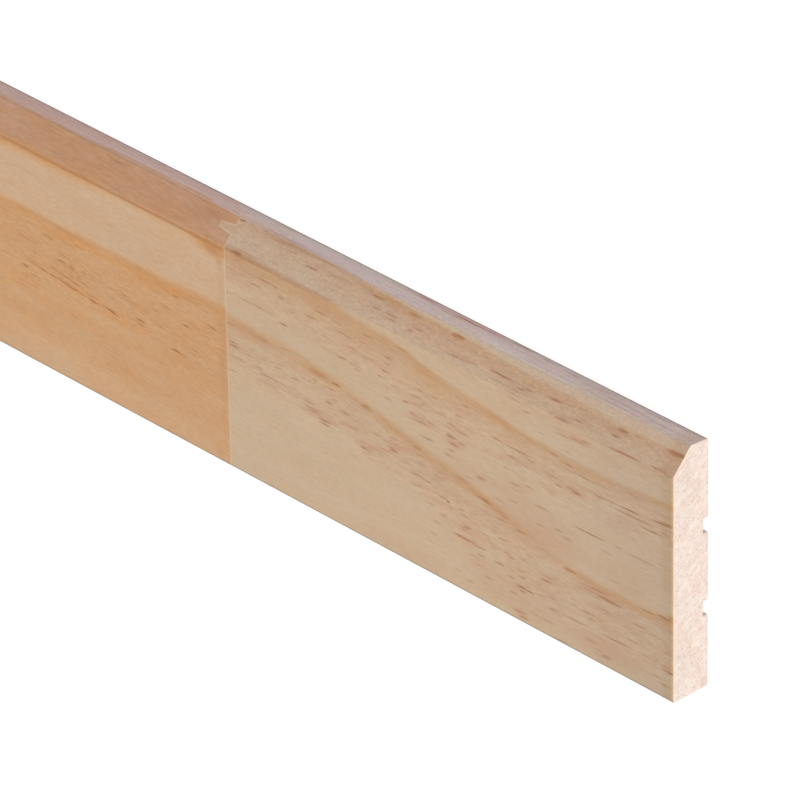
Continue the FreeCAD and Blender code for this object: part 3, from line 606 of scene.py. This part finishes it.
def bandRings(tree, spot, cut):
    slant = calc(tree, "MULTIPLY_ADD", spot["depth"], ringBend, ringLean)
    lean = calc(tree, "MULTIPLY", spot["depth"], slant)
    uneven = calc(tree, "ADD", swing(tree, spot, "wander"), swing(tree, spot, "ragged"))
    level = calc(tree, "ADD", calc(tree, "ADD", spot["height"], lean), uneven)
    late, flecks = 0.0, 0.0
    for band in cut["bands"]:
        below = calc(tree, "SUBTRACT", curve(tree, spot["along"], band["line"]), level)
        farEnd, nearEnd = band["line"][0][0], band["line"][-1][0]
        breadth = remap(tree, spot["along"], farEnd, nearEnd, *band.get("breadth", (1.0, 1.0)))
        bandTone = ramp(tree, calc(tree, "DIVIDE", below, breadth), band["tone"])
        if "strength" in band:
            bandTone = multiply(tree, bandTone, curve(tree, spot["along"], band["strength"]))
        late = calc(tree, "MAXIMUM", bandTone, late)
        flecks = calc(tree, "MAXIMUM", ramp(tree, below, band["flecks"]), flecks)
    return late, flecks


def pithRings(tree, spot, cut):
    pithHeight = calc(tree, "MULTIPLY_ADD", spot["along"], cut["climb"][0], cut["pith"][0])
    pithDepth = calc(tree, "MULTIPLY_ADD", spot["along"], cut["climb"][1], cut["pith"][1])
    away = addNode(tree, "ShaderNodeCombineXYZ", {
        "X": calc(tree, "SUBTRACT", spot["height"], pithHeight),
        "Y": calc(tree, "SUBTRACT", spot["depth"], pithDepth),
    }).outputs[0]
    away = addNode(tree, "ShaderNodeVectorMath", {0: away}, operation="LENGTH").outputs["Value"]
    uneven = calc(tree, "ADD", swing(tree, spot, "pithWander"), swing(tree, spot, "ragged"))
    level = calc(tree, "ADD", away, uneven)
    phase = calc(tree, "FRACT", calc(tree, "DIVIDE", level, cut["ringWidth"]))
    return ramp(tree, phase, cut["late"]), remap(tree, phase, 0.1, 0.8, 0.0, cut["flecks"])


# Resin canals run along the grain, so they show as thin dashes on the faces and as
# dots on the ends. share is how many of the canals are dark.
resin = {
    "short": {"size": (9, 0.62, 0.62), "shift": 0},
    "long": {"size": (30, 0.9, 0.9), "shift": 50},
    "thickness": (0.2, 0.45),   # of a canal, as a share of the room that it has
    "core": 0.2,           # the part of it that is fully dark
    "fadeIn": 0.06,
    "strength": (0.35, 1.0),
    "longShare": 0.4,
    "longStrength": 0.8,
}


def canals(tree, spot, kind, share):
    seed = spot["seed"] + resin[kind]["shift"]
    place = stretched(tree, spot, resin[kind]["size"], seed, spot["across"])
    cell = addNode(tree, "ShaderNodeTexVoronoi", {"Vector": place, "Scale": 1.0}, voronoi_dimensions="3D")
    chance = addNode(tree, "ShaderNodeSeparateColor", {0: cell.outputs["Color"]}).outputs
    thickness = remap(tree, chance[1], 0, 1, *resin["thickness"])
    away = calc(tree, "DIVIDE", cell.outputs["Distance"], thickness)
    body = remap(tree, away, resin["core"], 1.0, 1.0, 0.0, smooth=True)
    shown = remap(tree, calc(tree, "SUBTRACT", share, chance[0]), 0.0, resin["fadeIn"])
    return multiply(tree, body, shown, remap(tree, chance[2], 0, 1, *resin["strength"]))


def fleckPattern(tree, spot, share):
    short = canals(tree, spot, "short", share)
    long = canals(tree, spot, "long", multiply(tree, share, resin["longShare"]))
    return calc(tree, "MAXIMUM", short, multiply(tree, long, resin["longStrength"]))


# The streaks that stand out, a score of them to a node group
markDepth = 1.5            # how far a mark reaches into the wood, in millimetres
marksInGroup = 20


def markGroup(slope, marks, widen):
    tree = bpy.data.node_groups.new("marks", "ShaderNodeTree")
    tree.interface.new_socket("Place", in_out="INPUT", socket_type="NodeSocketVector")
    tree.interface.new_socket("Mark", in_out="OUTPUT", socket_type="NodeSocketFloat")
    place = tree.nodes.new("NodeGroupInput").outputs["Place"]
    total = 0.0
    for along, height, length, width, strength in marks:
        pastArris = max(height - board["height"], 0)
        up = height - pastArris
        depth = max(up - board["splayFoot"], 0) * board["splayLean"] + pastArris
        centre = (along, up - slope * along, depth)
        scale = (2 / length, 2 / width / widen, 1 / markDepth)
        if pastArris:
            scale = (2 / length, 1 / markDepth, 2 / width / widen)
        away = addNode(tree, "ShaderNodeVectorMath", {
            0: place, 1: scale, 2: [-c * s for c, s in zip(centre, scale)],
        }, operation="MULTIPLY_ADD").outputs[0]
        away = addNode(tree, "ShaderNodeVectorMath", {
            0: away, 1: away,
        }, operation="DOT_PRODUCT").outputs["Value"]
        total = calc(tree, "MAXIMUM", total, calc(tree, "MULTIPLY_ADD", away, -strength, strength))
    addNode(tree, "NodeGroupOutput", {"Mark": total})
    return tree


def drawMarks(tree, spot, cut, kind, widen=1.0):
    place = addNode(tree, "ShaderNodeCombineXYZ", {
        "X": spot["along"], "Y": spot["across"], "Z": spot["depth"],
    }).outputs[0]
    total = 0.0
    for start in range(0, len(cut[kind]), marksInGroup):
        group = markGroup(cut["slope"], cut[kind][start:start + marksInGroup], widen)
        score = addNode(tree, "ShaderNodeGroup", {"Place": place}, node_tree=group)
        total = calc(tree, "MAXIMUM", total, score.outputs["Mark"])
    return remap(tree, total, 0.0, 1.0, smooth=True)


# Cream wood with amber rings, in which the latest parts turn russet
russetWood = tone(0.655, 0.45, 0.285)
russetDepth = 0.4


def ringColour(tree, spot, cut, late):
    colour = mixColour(tree, late, cut["cream"], cut["amber"])
    russet = multiply(tree, blots(tree, spot, "russet"), late, late, russetDepth)
    return mixColour(tree, russet, colour, russetWood)


# Wood blushes round a cluster of canals and round the marks that stand out
blushDepth = {"cluster": 0.6, "mark": 0.7}


def blushColour(tree, spot, cut, colour, share):
    cluster = calc(tree, "MULTIPLY", share, blushDepth["cluster"], clamp=True)
    colour = mixColour(tree, cluster, colour, cut["blush"])
    if "blushMarks" in cut:
        marks = multiply(tree, drawMarks(tree, spot, cut, "blushMarks"), blushDepth["mark"])
        colour = mixColour(tree, marks, colour, cut["blush"])
    if "paleMarks" in cut:
        colour = mixColour(tree, drawMarks(tree, spot, cut, "paleMarks"), colour, cut["cream"])
    return colour


# Clouds, fine fibres, mottle, and patches that are a little warmer or cooler
texture = {
    "fibreShade": (0.967, 1.033),
    "fleckMottle": 0.1,    # how much livelier the wood is among flecks
    "tints": {"smallTint": 0.01, "largeTint": 0.015},
    "coolRed": 0.995,
    "nearTintRange": (-60, -15),
}


def textureColour(tree, spot, cut, colour, fibres, fleckShare):
    clouds = blots(tree, spot, "clouds")
    streaks = remap(tree, fibres, 0.25, 0.75, *texture["fibreShade"])
    reach = calc(tree, "MULTIPLY_ADD", fleckShare, texture["fleckMottle"], cut["mottle"])
    mottle = calc(tree, "MULTIPLY_ADD", blots(tree, spot, "mottle"), reach, 1.0)
    colour = shade(tree, colour, multiply(tree, clouds, streaks, mottle))
    for kind, part in texture["tints"].items():
        if kind == "largeTint":
            part = part * cut["tint"]
        warm = washed(tree, colour, (1.0, 1 - part, 1 - 2 * part))
        cool = washed(tree, colour, (texture["coolRed"], 1 + part, 1 + 2 * part))
        colour = mixColour(tree, blots(tree, spot, kind), warm, cool)
    if "nearTint" in cut:
        nearby = remap(tree, spot["along"], *texture["nearTintRange"], smooth=True)
        colour = tinted(tree, colour, multiply(tree, nearby, spot["onFace"]), cut["nearTint"])
    return colour


# The dark and the russet marks, among the canals' own flecks. Those are fainter in the
# part of the board that the photograph shows, where the marks take their place.
flecking = {
    "russet": 0.85,
    "dark": 0.95,
    "shownFrom": (-250, -228),
    "faint": 0.45,
    "footFade": (0.2, 0.8),   # from the middle of the brown line at the splay's foot
}


def fleckColour(tree, spot, cut, colour, flecks):
    if "darkMarks" in cut:
        torn = blots(tree, spot, "torn")
        russet = multiply(tree, drawMarks(tree, spot, cut, "russetMarks"), torn)
        russet = calc(tree, "MULTIPLY", russet, flecking["russet"], clamp=True)
        colour = mixColour(tree, russet, colour, russetWood)
        dark = drawMarks(tree, spot, cut, "darkMarks", cut["widen"])
        dark = multiply(tree, dark, torn, cut["plainness"])
        faint = remap(tree, spot["along"], *flecking["shownFrom"], 1.0, flecking["faint"])
        flecks = calc(tree, "MAXIMUM", multiply(tree, flecks, faint), dark)
    flecks = calc(tree, "MULTIPLY", flecks, flecking["dark"], clamp=True)
    colour = mixColour(tree, flecks, colour, cut["fleck"])

    if "footLine" in cut:
        fromFoot = apart(tree, spot["height"], cut["footLine"]["height"])
        foot = remap(tree, fromFoot, *flecking["footFade"], 1.0, 0.0)
        strength = curve(tree, spot["along"], cut["footLine"]["strength"])
        colour = mixColour(tree, multiply(tree, foot, strength, torn), colour, russetWood)
    return colour


# Which way a surface looks where it counts as the face, the splay, an edge or a sawn end
looks = {
    "face": (0.8, 0.95),
    "splay": (0.2, 0.6),
    "edge": (0.76, 0.88),
    "sawn": (0.6, 0.9),
    "upperArris": 0.83,
}
arris = {
    "shade": 0.38,         # painted shade along the outer arrises at the back and the floor edge, fading over these millimetres
    "backFade": (0.15, 0.7),
    "floorFade": (0.15, 0.6),
    "upperFade": (0.05, 0.15),
}


# The planed edges are greyer than the face, partly their own tone and partly a painted cool sheen, the
# splay is woolly and a little darker, and the outer arrises carry painted shade
def edgeColour(tree, spot, cut, colour):
    edge = multiply(tree, remap(tree, spot["steep"], *looks["edge"], smooth=True), spot["outer"])
    splay = remap(tree, spot["upwards"], *looks["splay"])
    colour = tinted(tree, colour, splay, cut["splay"])
    reach = multiply(tree, splay, cut["splayMottle"])
    colour = shade(tree, colour, calc(tree, "MULTIPLY_ADD", blots(tree, spot, "wool"), reach, 1.0))
    # the edges' own greyer tone, with a painted cool sheen
    edgeToneAndSheen = shade(tree, washed(tree, colour, cut["edge"]), blots(tree, spot, "edgeStreaks"))
    colour = mixColour(tree, edge, colour, edgeToneAndSheen)
    # painted shade along the back arris on the edges and along the floor edge's arris on the face
    toBack = calc(tree, "SUBTRACT", board["thickness"], spot["depth"])
    paintedBackArrisShade = remap(tree, toBack, *arris["backFade"], arris["shade"], 1.0)
    onFace = remap(tree, spot["height"], *arris["floorFade"], arris["shade"], 1.0)
    colour = shade(tree, colour, remap(tree, edge, 0, 1, onFace, paintedBackArrisShade))
    turning = apart(tree, spot["upwards"], looks["upperArris"])
    turning = remap(tree, turning, *arris["upperFade"], 1.0, 0.0)
    turning = multiply(tree, turning, spot["outer"])
    return shade(tree, colour, remap(tree, turning, 0, 1, 1.0, cut["upperArris"]))


# The last millimetres before a sawn end: the face is darker, with a painted highlight at the arris and a
# golden line, the splay and edges are browner, and the grooves' walls carry painted light in their shade
endZone = {
    # the face's tone near the end: darker, with a painted highlight over the last 0.3 mm
    "faceToneAndHighlight": [
        (0, 1.06), (0.3, 1.06), (0.9, 0.83), (2.8, 0.83), (4.5, 0.9), (14, 0.92), (30, 0.97), (60, 1.0),
    ],
    "edgeShade": [(0, 1.0), (0.5, 1.0), (1.2, 0.965), (3.2, 0.965), (5.0, 0.99), (10, 1.0), (60, 1.0)],
    "goldLine": [(0, 0.0), (0.25, 0.0), (0.5, 1.0), (1.0, 0.7), (1.8, 0.0)],
    "gold": (1.03, 0.95, 0.80),
    "brown": (0.955, 0.89, 0.83),
    "brownFades": (3.0, 6.5),
    # painted light: the grooves' walls near the ends turn pale where they lie in shade
    "grooveWallPaintedLight": tone(0.98, 0.94, 0.905),
    "grooveFades": (8.0, 14.0),
}


def endZoneColour(tree, spot, colour):
    fromNear = multiply(tree, spot["along"], -1)
    fromFar = calc(tree, "SUBTRACT", spot["along"], board["farEnd"] - board["nearEnd"])
    fromEnd = calc(tree, "MINIMUM", fromNear, fromFar)
    edgeShade = ramp(tree, fromEnd, endZone["edgeShade"])
    faceToneAndHighlight = ramp(tree, fromEnd, endZone["faceToneAndHighlight"])
    colour = shade(tree, colour, remap(tree, spot["onFace"], 0, 1, edgeShade, faceToneAndHighlight))
    brown = remap(tree, fromEnd, *endZone["brownFades"], 1.0, 0.0)
    brown = multiply(tree, brown, calc(tree, "SUBTRACT", 1.0, spot["onFace"]))
    colour = tinted(tree, colour, brown, endZone["brown"])
    gold = multiply(tree, ramp(tree, fromEnd, endZone["goldLine"]), spot["onFace"])
    colour = tinted(tree, colour, gold, endZone["gold"])
    # painted light on the grooves' shaded walls
    paintedLightOnWall = multiply(
        tree,
        remap(tree, spot["steep"], *looks["edge"]),
        calc(tree, "SUBTRACT", 1.0, spot["outer"]),
        remap(tree, fromEnd, *endZone["grooveFades"], 1.0, 0.0),
    )
    return mixColour(tree, paintedLightOnWall, colour, endZone["grooveWallPaintedLight"])


# Sawn ends show the rings' edges, the rays that cross them and the pores as dots
endGrain = {
    "cream": tone(0.858, 0.80, 0.76),
    "blush": tone(0.84, 0.75, 0.70),
    "late": tone(0.80, 0.70, 0.62),
    # painted highlight along the arrises of the face and the splay
    "paintedRimHighlight": tone(0.88, 0.80, 0.70),
    "rayAngle": 32.0,      # how steeply the rays climb towards the back, in degrees
    "rayWidth": 0.42,
    "rayLength": 5.0,
    "rayShade": (0.92, 1.08),
    "blotchDepth": 0.75,
    "lateDepth": 0.4,
    "pores": (20, 1.1, 1.1),
    "poreSize": (0.12, 0.3),
    "poreShade": 0.8,
    "backShade": 0.86,     # painted shade along the back arris
    "rimFade": (0.15, 0.8),
    "rimDepth": 0.8,
}


def endColour(tree, spot, late):
    angle = math.radians(endGrain["rayAngle"])
    up, back = spot["height"], spot["depth"]
    acrossRays = calc(tree, "MULTIPLY_ADD", back, -math.sin(angle), multiply(tree, up, math.cos(angle)))
    alongRays = calc(tree, "MULTIPLY_ADD", back, math.cos(angle), multiply(tree, up, math.sin(angle)))
    place = addNode(tree, "ShaderNodeCombineXYZ", {
        "X": calc(tree, "MULTIPLY", acrossRays, 1 / endGrain["rayWidth"]),
        "Y": calc(tree, "MULTIPLY", alongRays, 1 / endGrain["rayLength"]),
        "Z": spot["seed"],
    }).outputs[0]
    rays = addNode(tree, "ShaderNodeTexNoise", {
        "Vector": place, "Scale": 1.0, "Detail": 2.0,
    }).outputs["Fac"]
    rays = remap(tree, rays, 0.3, 0.7, *endGrain["rayShade"])
    blotches = multiply(tree, blots(tree, spot, "endBlotches"), endGrain["blotchDepth"])
    colour = mixColour(tree, blotches, endGrain["cream"], endGrain["blush"])
    colour = mixColour(tree, multiply(tree, late, endGrain["lateDepth"]), colour, endGrain["late"])
    pores = addNode(tree, "ShaderNodeTexVoronoi", {
        "Vector": stretched(tree, spot, endGrain["pores"], spot["seed"] + 7, up), "Scale": 1.0,
    }, voronoi_dimensions="3D").outputs["Distance"]
    dots = remap(tree, pores, *endGrain["poreSize"], endGrain["poreShade"], 1.0)
    colour = shade(tree, colour, multiply(tree, rays, blots(tree, spot, "endSpeckle"), dots))
    # painted shade along the back arris
    toBack = (board["thickness"] - 0.4, board["thickness"] - 0.1)
    colour = shade(tree, colour, remap(tree, back, *toBack, 1.0, endGrain["backShade"]))

    # a painted highlight: a pale line along the face and the splay, where the arris catches the light
    lean = board["splayLean"]
    fromSplay = calc(tree, "MULTIPLY_ADD", up, -lean, board["splayFoot"] * lean)
    fromSplay = calc(tree, "DIVIDE", calc(tree, "ADD", fromSplay, back), math.hypot(1.0, lean))
    fromRim = calc(tree, "MINIMUM", back, fromSplay)
    paintedRimHighlight = remap(tree, fromRim, *endGrain["rimFade"], endGrain["rimDepth"], 0.0, smooth=True)
    return mixColour(tree, paintedRimHighlight, colour, endGrain["paintedRimHighlight"])


# The finger joints between the blocks, in millimetres, and their glue
joint = {
    "fingerLength": 4.4,
    "fingerRoot": 1.8,
    "fingerTip": 1.0,
    "fingerPitch": 3.2,
    "faceShoulder": 2.25,
    "fingerCount": 3,
    "glueWidth": 0.15,     # half the width of the line of glue
    "glue": 0.31,
    "flankGlue": 0.6,      # how much of the glue shows along the fingers' flanks
    "glueColour": tone(0.90, 0.82, 0.70),
}


# How near a point is to the glued faces of the joint whose shoulder is at this place
def glueLine(tree, spot, shoulder):
    taper = (joint["fingerRoot"] - joint["fingerTip"]) / 2
    pastShoulder = calc(tree, "SUBTRACT", spot["depth"], joint["faceShoulder"])
    lastFinger = (joint["fingerCount"] - 1) * joint["fingerPitch"] + joint["fingerRoot"]
    withinFingers = multiply(
        tree,
        calc(tree, "GREATER_THAN", pastShoulder, 0.0),
        calc(tree, "LESS_THAN", pastShoulder, lastFinger),
    )
    intoFinger = calc(tree, "FLOORED_MODULO", pastShoulder, joint["fingerPitch"])
    fromFlank = calc(tree, "MINIMUM", intoFinger, calc(tree, "SUBTRACT", joint["fingerRoot"], intoFinger))
    rise = remap(tree, fromFlank, 0.0, taper)
    reach = multiply(tree, rise, withinFingers, -joint["fingerLength"])
    gap = calc(tree, "SUBTRACT", calc(tree, "SUBTRACT", spot["along"], shoulder), reach)
    onFlank = multiply(
        tree,
        calc(tree, "GREATER_THAN", rise, 0.001),
        calc(tree, "LESS_THAN", rise, 0.999),
        withinFingers,
    )
    slant = taper / math.hypot(taper, joint["fingerLength"])
    distance = multiply(tree, calc(tree, "ABSOLUTE", gap), remap(tree, onFlank, 0, 1, 1.0, slant))
    line = remap(tree, distance, joint["glueWidth"] * 0.5, joint["glueWidth"] * 1.5, 1.0, 0.0)
    return multiply(tree, line, remap(tree, onFlank, 0, 1, 1.0, joint["flankGlue"]))


# Pale glue in the joints at the block's ends
def glueColour(tree, spot, name, colour):
    low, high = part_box(name)
    shoulders = []
    if high.x * 1000 < board["nearEnd"] - 1:
        shoulders.append(high.x * 1000 - board["nearEnd"])
    if low.x * 1000 > board["farEnd"] + 1:
        shoulders.append(low.x * 1000 + joint["fingerLength"] - board["nearEnd"])
    for shoulder in shoulders:
        glue = multiply(tree, glueLine(tree, spot, shoulder), joint["glue"])
        colour = mixColour(tree, glue, colour, joint["glueColour"])
    return colour


# Bare planed pine: dull, with fibres that stand up a little and canals that sink in
finish = {
    "roughness": (0.7, 0.56),
    "specular": 0.3,
    "bump": 0.25,
    "bumpHeight": 0.00008,
    "fleckRelief": -0.6,
}


seedStep = 3.7             # each block reads the noises in a place of its own


def makeWood(name, cut):
    material = bpy.data.materials.new(f"pine_{name}")
    material.use_nodes = True
    tree = material.node_tree
    tree.nodes.clear()
    spot = readSpot(tree, cut, float(name[-1]) * seedStep)
    spot["onFace"] = remap(tree, spot["outwards"], *looks["face"])
    spot["steep"] = calc(tree, "ABSOLUTE", spot["upwards"])
    half = board["height"] / 2     # the edges are steep and outer, and the grooves' walls only steep
    spot["outer"] = remap(tree, apart(tree, spot["height"], half), half - 2, half - 1)

    findRings = bandRings if "bands" in cut else pithRings
    late, fleckShare = findRings(tree, spot, cut)
    late = calc(tree, "MULTIPLY", late, swing(tree, spot, "patches"), clamp=True)
    share = multiply(tree, fleckShare, blots(tree, spot, "clusters"))
    flecks = fleckPattern(tree, spot, share)
    fibres = noise(tree, spot, "fibres")

    colour = ringColour(tree, spot, cut, late)
    colour = blushColour(tree, spot, cut, colour, share)
    colour = textureColour(tree, spot, cut, colour, fibres, fleckShare)
    colour = fleckColour(tree, spot, cut, colour, flecks)
    colour = edgeColour(tree, spot, cut, colour)
    colour = endZoneColour(tree, spot, colour)
    sawn = remap(tree, spot["lengthways"], *looks["sawn"])
    colour = mixColour(tree, sawn, colour, endColour(tree, spot, late))
    colour = glueColour(tree, spot, name, colour)

    relief = calc(tree, "MULTIPLY_ADD", flecks, finish["fleckRelief"], fibres)
    bump = addNode(tree, "ShaderNodeBump", {
        "Strength": finish["bump"], "Distance": finish["bumpHeight"], "Height": relief,
    })
    shader = addNode(tree, "ShaderNodeBsdfPrincipled", {
        "Base Color": colour,
        "Roughness": remap(tree, fibres, 0.2, 0.8, *finish["roughness"]),
        "Specular IOR Level": finish["specular"],
        "Normal": bump.outputs[0],
    })
    addNode(tree, "ShaderNodeOutputMaterial", {"Surface": shader.outputs[0]})
    return material


for name, cut in {**viewed, **hidden}.items():
    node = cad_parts[name]
    material = makeWood(name, {**usual, **cut})
    if node.material_slots:
        for materialSlot in node.material_slots:
            materialSlot.material = material
    else:
        node.data.materials.append(material)
print("wood done")

# The floor is white to the camera, and keeps a soft shadow
stage = {
    "radius": 80.0,
    "colour": tone(0.93, 0.93, 0.93),
    "glow": 1.04,
    "shadow": 0.10,        # how much of the floor's look is lit
    "worldLight": 0.455,
}
lamps = {
    "key": {"from": (0.82, -0.05, 0.57), "strength": 2.44, "softness": 20.0, "colour": (1, 1, 1)},
    "fill": {"from": (0.0, 0.8, 0.6), "strength": 0.45, "softness": 60.0, "colour": (0.94, 0.97, 1)},
}


def makeFloor():
    bm = bmesh.new()
    bmesh.ops.create_circle(bm, cap_ends=True, segments=64, radius=stage["radius"])
    mesh = bpy.data.meshes.new("floor")
    bm.to_mesh(mesh)
    bm.free()
    floor = bpy.data.objects.new("floor", mesh)
    bpy.context.scene.collection.objects.link(floor)
    material = bpy.data.materials.new("floor")
    material.use_nodes = True
    tree = material.node_tree
    tree.nodes.clear()
    rays = addNode(tree, "ShaderNodeLightPath")
    lit = addNode(tree, "ShaderNodeBsdfDiffuse", {"Color": stage["colour"]})
    glow = addNode(tree, "ShaderNodeEmission", {"Color": (1, 1, 1, 1), "Strength": stage["glow"]})
    seen = addNode(tree, "ShaderNodeMixShader", {0: stage["shadow"], 1: glow.outputs[0], 2: lit.outputs[0]})
    whole = addNode(tree, "ShaderNodeMixShader", {
        0: rays.outputs["Is Camera Ray"], 1: lit.outputs[0], 2: seen.outputs[0],
    })
    addNode(tree, "ShaderNodeOutputMaterial", {"Surface": whole.outputs[0]})
    mesh.materials.append(material)


def makeLight():
    world = bpy.data.worlds.new("studio")
    bpy.context.scene.world = world
    world.use_nodes = True
    tree = world.node_tree
    tree.nodes.clear()
    rays = addNode(tree, "ShaderNodeLightPath")
    plain = calc(tree, "MAXIMUM", rays.outputs["Is Camera Ray"], rays.outputs["Is Glossy Ray"])
    plain = calc(tree, "MAXIMUM", plain, rays.outputs["Is Transmission Ray"])
    strength = remap(tree, plain, 0, 1, stage["worldLight"], 1.0)
    sky = addNode(tree, "ShaderNodeBackground", {"Color": (1, 1, 1, 1), "Strength": strength})
    addNode(tree, "ShaderNodeOutputWorld", {"Surface": sky.outputs[0]})

    for name, plan in lamps.items():
        lamp = bpy.data.lights.new(name, "SUN")
        lamp.energy = plan["strength"]
        lamp.color = plan["colour"]
        lamp.angle = math.radians(plan["softness"])
        light = bpy.data.objects.new(name, lamp)
        light.rotation_mode = "QUATERNION"
        light.rotation_quaternion = Vector(plan["from"]).to_track_quat("Z", "Y")
        bpy.context.scene.collection.objects.link(light)


# The photograph's view: a long lens that looks down on the near end of the board
camera = {
    "place": (2.26979, 0.94919, 1.09447),
    "aim": (1.11104, 0.01004, 0.01100),
    "roll": -116.60,       # degrees, anticlockwise as the camera sees it
    "lens": 358.29,
    "film": 36.0,
}


def makeCamera():
    data = bpy.data.cameras.new("camera")
    data.lens = camera["lens"]
    data.sensor_width = camera["film"]
    data.clip_end = 200.0
    view = bpy.data.objects.new("camera", data)
    view.location = camera["place"]
    look = Vector(camera["aim"]) - Vector(camera["place"])
    level = look.to_track_quat("-Z", "Y")
    view.rotation_mode = "QUATERNION"
    view.rotation_quaternion = level @ Quaternion((0, 0, 1), math.radians(camera["roll"]))
    bpy.context.scene.collection.objects.link(view)
    bpy.context.scene.camera = view


makeFloor()
makeLight()
makeCamera()
bpy.context.scene.view_settings.view_transform = "Standard"
print("floor, light and camera done")
